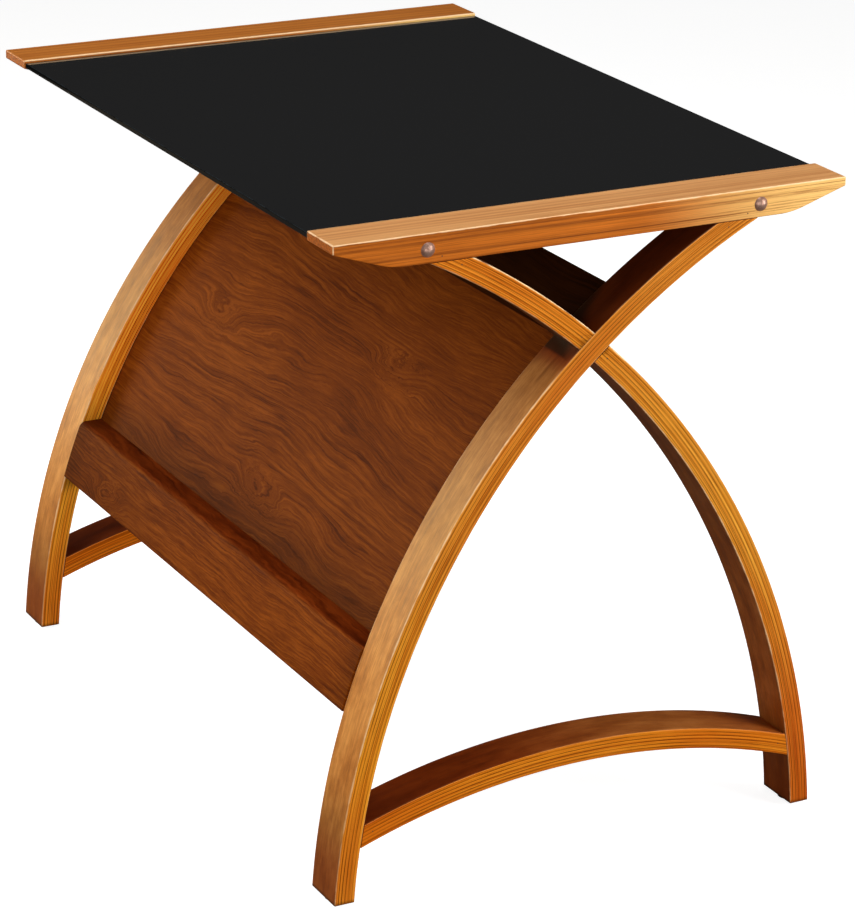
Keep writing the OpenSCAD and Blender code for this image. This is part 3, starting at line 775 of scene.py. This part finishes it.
# The stretchers' dark tops are painted shade, and front_lit puts painted light on their front halves.
STRETCHER_LOOK = {"redness": 0.12, "tints": ((0.0, (0.87, 0.64, 0.34)),), "faces": (0.6, 0.28),
                  "arris": (0.0, 0.1, 0.0, 0.1), "front_lit": 2.4}
LOOKS = {
    "left_rear_leg": REAR_LOOK,
    "right_rear_leg": {**REAR_LOOK, "faces": (1.3, 1.06), "lit": 2.4, "shaded": 0.80},
    "left_front_leg": FRONT_LOOK,
    "right_front_leg": FRONT_LOOK,
    "left_stretcher": STRETCHER_LOOK,
    "right_stretcher": STRETCHER_LOOK,
}


def side_leg(hand, sign, side, xs, seed, *nodes):
    """One leg; sign is -1 on the left and +1 on the right, side is -1 in front and +1 behind.

    Besides the brads, tenons and nails, the nodes are cut out of it.
    """
    name = f"{hand}_{'rear' if side > 0 else 'front'}_leg"
    ends = (level_end(foot_z, 1), level_end(leg_top_z - JOINT_GAP, -1))
    leg = arc_piece(name + "_wood", LEG_C, side, (LEG_IN, LEG_R), xs, ends, WOOD_ROUND, LEG_STEPS)
    kept = side * sign           # at the crossing, the rear legs keep their outer half
    lost = xs[0] if kept > 0 else xs[1]
    half = sorted((sum(xs) / 2 + kept * JOINT_GAP / 2, lost - kept * OVERCUT))
    carve(leg, crossing_cutter(-side, JOINT_GAP, half), hand + "_frame_brads", hand + "_leg_tenons",
          hand + "_stretcher_tenons", "glide_nails", *nodes)
    wood = laminated(name, LEG_C, side, (LEG_IN, LEG_R), xs, seed, **LOOKS[name])
    finish_piece(leg, wood, name)


def side_stretcher(hand, xs, seed):
    name = hand + "_stretcher"
    radii = (STRETCHER_R - STRETCHER_T, STRETCHER_R)
    ends = (scribed_end(False), scribed_end(True))
    stretcher = arc_piece(name + "_wood", STRETCHER_C, 1, radii, xs, ends, WOOD_ROUND, STRETCHER_STEPS)
    carve(stretcher, hand + "_frame_brads", hand + "_stretcher_tenons")
    wood = laminated(name, STRETCHER_C, 1, radii, xs, seed, **LOOKS[name])
    finish_piece(stretcher, wood, name)


def side_rail(hand, seed):
    """Top rail, which thins towards both ends from below."""
    name = hand + "_top_rail"
    lo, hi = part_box(name)
    level = hi.y - RAIL_TAPER
    outline = [(lo.y, hi.z - RAIL_END_T), (-level, lo.z), (level, lo.z), (hi.y, hi.z - RAIL_END_T),
               (hi.y, hi.z), (lo.y, hi.z)]
    radii = [WOOD_ROUND, RAIL_ROUND, RAIL_ROUND, WOOD_ROUND, WOOD_ROUND, WOOD_ROUND]
    rail = slab(name + "_wood", outline, radii, "x", lo.x, hi.x, END_SHARE * WOOD_ROUND)
    carve(rail, hand + "_frame_brads", hand + "_leg_tenons", hand + "_rail_bolts", "cross_bar_dowels")
    wood = rail_wood(name, (lo.x, hi.x), (lo.y, hi.y), (lo.z, hi.z), seed, *RAIL_LOOKS[hand])
    finish_piece(rail, wood, name)


def side_frame(hand, sign):
    """Legs, stretcher and rail of one side frame; sign is -1 on the left and +1 on the right."""
    lo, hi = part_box(hand + "_rear_leg")
    xs = (lo.x, hi.x)
    seed = 3 + sign
    side_leg(hand, sign, 1, xs, seed + 10, "ledge_dowels", "upper_rail_dowels", "panel_screws")
    side_leg(hand, sign, -1, xs, seed)
    side_stretcher(hand, xs, seed + 21)
    side_rail(hand, seed + 31)


side_frame("left", -1)
side_frame("right", 1)


# ---- Back panel, its two cross rails and the glass --------------------------------------------------

def leg_notch(sign):
    """Room for a front leg in the panel's lap; sign is -1 on the left and +1 on the right."""
    outer = panel_hi.x + NOTCH_GAP
    return crossing_cutter(-1, NOTCH_GAP, sorted((sign * (INNER_X - NOTCH_GAP), sign * outer)))


def arc_points(r, start, end, steps):
    """Points between two angles of the rear legs' curve, in the Y-Z plane, without the first and last."""
    angles = [radians(start + (end - start) * k / steps) for k in range(1, steps)]
    return [(LEG_C[0] + r * cos(a), LEG_C[1] + r * sin(a)) for a in angles]


def ledge_outline():
    """Section of the ledge rail in the Y-Z plane, with the radius of each corner."""
    def corner(r, z):
        return LEG_C[0] + sqrt(r * r - (z - LEG_C[1]) ** 2), z

    top = ledge_hi.z
    foot_angle = angle_at(LEG_IN, ledge_lo.z)
    clear = degrees(LEDGE_ROUND / LEDGE_R)
    rear = arc_points(LEDGE_R, foot_angle, angle_at(LEDGE_R, top) - clear, SHORT_STEPS)
    front = arc_points(LEG_IN, angle_at(LEG_IN, top), foot_angle, SHORT_STEPS)
    foot = [corner(r, LEG_C[1] + r * sin(radians(foot_angle))) for r in (LEG_IN, LEDGE_R)]
    points = [foot[0], foot[1], *rear, corner(LEDGE_R, top), corner(LEG_IN, top), *front]
    radii = [PANEL_ROUND, WOOD_ROUND, *[0.0] * len(rear), LEDGE_ROUND, PANEL_ROUND, *[0.0] * len(front)]
    return points, radii


panel_lo, panel_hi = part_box("back_panel")
ledge_lo, ledge_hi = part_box("ledge_rail")
upper_lo, upper_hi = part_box("upper_cross_rail")
upper_high = angle_at(LEG_R, upper_hi.z)
panel_ends = (radial_end(angle_at(LEG_IN - PANEL_T, panel_lo.z), 1), radial_end(upper_high, -1))
upper_ends = (radial_end(angle_at(LEG_IN, upper_lo.z), 1), radial_end(upper_high, -1))

panel = arc_piece("back_panel_veneered", LEG_C, 1, (LEG_IN - PANEL_T, LEG_IN - CLEAR),
                  (panel_lo.x, panel_hi.x), panel_ends, PANEL_ROUND, WIDE_STEPS)
carve(panel, "panel_screws", leg_notch(-1), leg_notch(1))
panel_veneer = veneer("panel_veneer", seed=2.0, curl=24.0, line_rate=210.0, contrast=1.1, stain_and_shade=0.90,
                      ledge_z=ledge_hi.z)
finish_piece(panel, panel_veneer, "back_panel")

ledge = slab("ledge_rail_wood", *ledge_outline(), "x", ledge_lo.x + JOINT_GAP, ledge_hi.x - JOINT_GAP,
             END_SHARE * WOOD_ROUND)
carve(ledge, "panel_screws", "ledge_dowels")
ledge_wood = veneer("ledge_wood", seed=5.0, curl=10.0, line_rate=170.0, contrast=1.5, stain_and_shade=0.98,
                    far_shade=0.70)
finish_piece(ledge, ledge_wood, "ledge_rail")

upper = arc_piece("upper_cross_rail_wood", LEG_C, 1, (LEG_IN, LEG_R),
                  (upper_lo.x + JOINT_GAP, upper_hi.x - JOINT_GAP), upper_ends, WOOD_ROUND, SHORT_STEPS)
carve(upper, "panel_screws", "upper_rail_dowels")
# the upper rail is darkened nearly black as painted shade, deep under the top
upper_wood = veneer("upper_rail_wood", seed=8.0, curl=18.0, line_rate=210.0, contrast=1.0, stain_and_shade=0.15)
finish_piece(upper, upper_wood, "upper_cross_rail")

glass_lo, glass_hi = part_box("glass_top")
glass_outline = [(glass_lo.x, glass_lo.y), (glass_hi.x, glass_lo.y), (glass_hi.x, glass_hi.y),
                 (glass_lo.x, glass_hi.y)]
glass = slab("glass_plate", glass_outline, [GLASS_CORNER] * 4, "z", glass_lo.z, glass_hi.z, GLASS_ROUND)
finish_piece(glass, black_glass(), "glass_top")
MIRRORS = bpy.data.collections.new("mirrors")    # pieces that the low lights must not glare in
MIRRORS.objects.link(glass)
MIRRORS.collection_objects[0].light_linking.link_state = "EXCLUDE"


# ---- CAD nodes that stay, with their finishes -------------------------------------------------------

PALE = ((0.62, 0.42, 0.22), (0.42, 0.25, 0.11))      # light and dark
DARK = ((0.16, 0.065, 0.022), (0.07, 0.026, 0.009))
finishes = {
    "left_leg_tenons right_leg_tenons": bare_wood("tenon_wood", 2, *PALE, 1),
    "left_stretcher_tenons right_stretcher_tenons": bare_wood("stretcher_tenon_wood", 1, *PALE, 2),
    "cross_bar_dowels ledge_dowels upper_rail_dowels": bare_wood("dowel_wood", 0, *PALE, 3),
    "rear_cross_bar front_cross_bar": bare_wood("bar_wood", 0, *DARK, 4),
    "left_rail_bolts right_rail_bolts":
        metal("bronzed_steel", (0.46, 0.27, 0.20), (0.30, 0.16, 0.11), 0.36, 0.6),
    "bolt_washers bolt_nuts panel_screws glide_nails":
        metal("zinc_steel", (0.62, 0.62, 0.63), (0.45, 0.44, 0.42), 0.28),
    "left_frame_brads right_frame_brads":
        metal("brad_steel", (0.10, 0.05, 0.02), (0.05, 0.025, 0.012), 0.45, 0.4),
    "glass_pads": plastic("clear_pad", (0.55, 0.56, 0.56), (0.40, 0.41, 0.42), 0.35),
    "foot_glides": plastic("glide_plastic", (0.020, 0.016, 0.014), (0.060, 0.050, 0.042), 0.45),
}
for names, material in finishes.items():
    for node in names.split():
        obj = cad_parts[node]
        obj.data.materials.clear()
        obj.data.materials.append(material)


# ---- Floor, light and camera ------------------------------------------------------------------------

FLOOR_SIZE = 40.0            # from its middle to its edge
FLOOR_DROP = 0.2 * MM
FLOOR_PALE = ((0.56, 0.56, 0.56), (0.60, 0.60, 0.60))
FLOOR_GLOW = 0.86            # what the camera sees of the floor besides the light that falls on it
FLOOR_BOUNCE = (0.10, 0.095, 0.09)
SKY_RISE = (0.55, 0.95)      # upward part of the direction, between which the sky brightens
SKY = (0.030, 0.06)
CAM_DISTANCE = 4.1376
CAM_AZIMUTH = 242.3
CAM_RISE = 20.22
CAM_ROLL = 0.805
CAM_LENS = 139.27
CAM_SENSOR = 36.0
CAM_CLIP = (0.1, 100.0)
CAM_AIM = (-0.0309, -0.0244, 0.3265)
MIDDLE = (0.0, 0.0, 0.4)     # what most lights aim at
WHITE = (1.0, 1.0, 1.0)


def floor():
    """Floor that looks white to the camera but reflects little light up at the table."""
    g = Graph("floor")
    spots = g.noise(shifted(g, 9, *object_coords(g), 30.0, 30.0, 30.0), 3.0)
    seen = g.add("LightPath").outputs["Is Camera Ray"]
    pale = g.add("BsdfDiffuse", {"Color": g.ramp(spots, (0.0, FLOOR_PALE[0]), (1.0, FLOOR_PALE[1]))})
    glow = g.add("Emission", {"Color": WHITE, "Strength": FLOOR_GLOW})
    both = g.add("AddShader", {0: pale.outputs[0], 1: glow.outputs[0]})
    dim = g.add("BsdfDiffuse", {"Color": FLOOR_BOUNCE})
    mixed = g.add("MixShader", {0: seen, 1: dim.outputs[0], 2: both.outputs[0]})
    g.tree.links.new(mixed.outputs[0], g.out.inputs[0])
    bm = bmesh.new()
    bmesh.ops.create_grid(bm, x_segments=8, y_segments=8, size=FLOOR_SIZE)
    mesh = bpy.data.meshes.new("floor")
    bm.to_mesh(mesh)
    bm.free()
    obj = make_object("floor", mesh)
    obj.location.z = -FLOOR_DROP
    obj.data.materials.append(g.material)


def softbox(name, at, size, power, aim=MIDDLE, colour=WHITE, glare=False):
    """Area light; unless it may glare, it doesn't light the mirrors."""
    light = bpy.data.lights.new(name, "AREA")
    light.shape = "RECTANGLE"
    light.size, light.size_y = size
    light.energy = power
    light.color = colour
    obj = make_object(name, light)
    obj.location = at
    obj.rotation_mode = "QUATERNION"
    obj.rotation_quaternion = (Vector(aim) - Vector(at)).to_track_quat("-Z", "Y")
    obj.visible_camera = False
    if not glare:
        obj.light_linking.receiver_collection = MIRRORS


def studio():
    """White to the camera, dim as a light."""
    world = bpy.data.worlds.new("studio")
    bpy.context.scene.world = world
    world.use_nodes = True
    tree = world.node_tree
    tree.nodes.clear()
    coords = tree.nodes.new("ShaderNodeTexCoord")
    split = tree.nodes.new("ShaderNodeSeparateXYZ")
    rise = tree.nodes.new("ShaderNodeMapRange")
    rise.interpolation_type = "SMOOTHSTEP"
    for key, value in enumerate((*SKY_RISE, *SKY), 1):
        rise.inputs[key].default_value = value
    path = tree.nodes.new("ShaderNodeLightPath")
    strength = tree.nodes.new("ShaderNodeMix")
    strength.inputs[3].default_value = 1.0
    background = tree.nodes.new("ShaderNodeBackground")
    out = tree.nodes.new("ShaderNodeOutputWorld")
    link = tree.links.new
    link(coords.outputs["Generated"], split.inputs[0])
    link(split.outputs[2], rise.inputs[0])
    link(path.outputs["Is Camera Ray"], strength.inputs[0])
    link(rise.outputs[0], strength.inputs[2])
    link(strength.outputs[0], background.inputs[1])
    link(background.outputs[0], out.inputs[0])


def camera():
    """Camera at the photograph's viewing angle."""
    data = bpy.data.cameras.new("camera")
    data.sensor_width = CAM_SENSOR
    data.lens = CAM_LENS
    data.clip_start, data.clip_end = CAM_CLIP
    obj = make_object("camera", data)
    a, e = radians(CAM_AZIMUTH), radians(CAM_RISE)
    back = Vector((sin(a) * cos(e), -cos(a) * cos(e), sin(e)))
    obj.location = Vector(CAM_AIM) + back * CAM_DISTANCE
    turn = (-back).to_track_quat("-Z", "Y").to_matrix() @ Matrix.Rotation(radians(CAM_ROLL), 3, "Z")
    obj.rotation_mode = "QUATERNION"
    obj.rotation_quaternion = turn.to_quaternion()
    bpy.context.scene.camera = obj


floor()
studio()
softbox("top_light", (-0.3, 0.0, 2.8), (1.6, 1.6), 33.0, glare=True)
softbox("rear_light", (0.4, 1.9, 1.7), (1.8, 1.4), 28.0)
softbox("low_light", (-0.3, 3.2, 0.9), (1.8, 1.0), 10.0)
softbox("side_light", (-2.2, -1.8, 1.25), (1.6, 1.4), 60.0)
softbox("fill_light", (-2.8, 0.9, 0.9), (1.8, 1.4), 26.0)
softbox("sheen_light", (2.7, 1.7, 0.9), (1.4, 1.5), 23.0, (0.0, 0.1, 0.4), (1.0, 0.90, 0.72))
camera()
bpy.context.scene.view_settings.view_transform = "Standard"
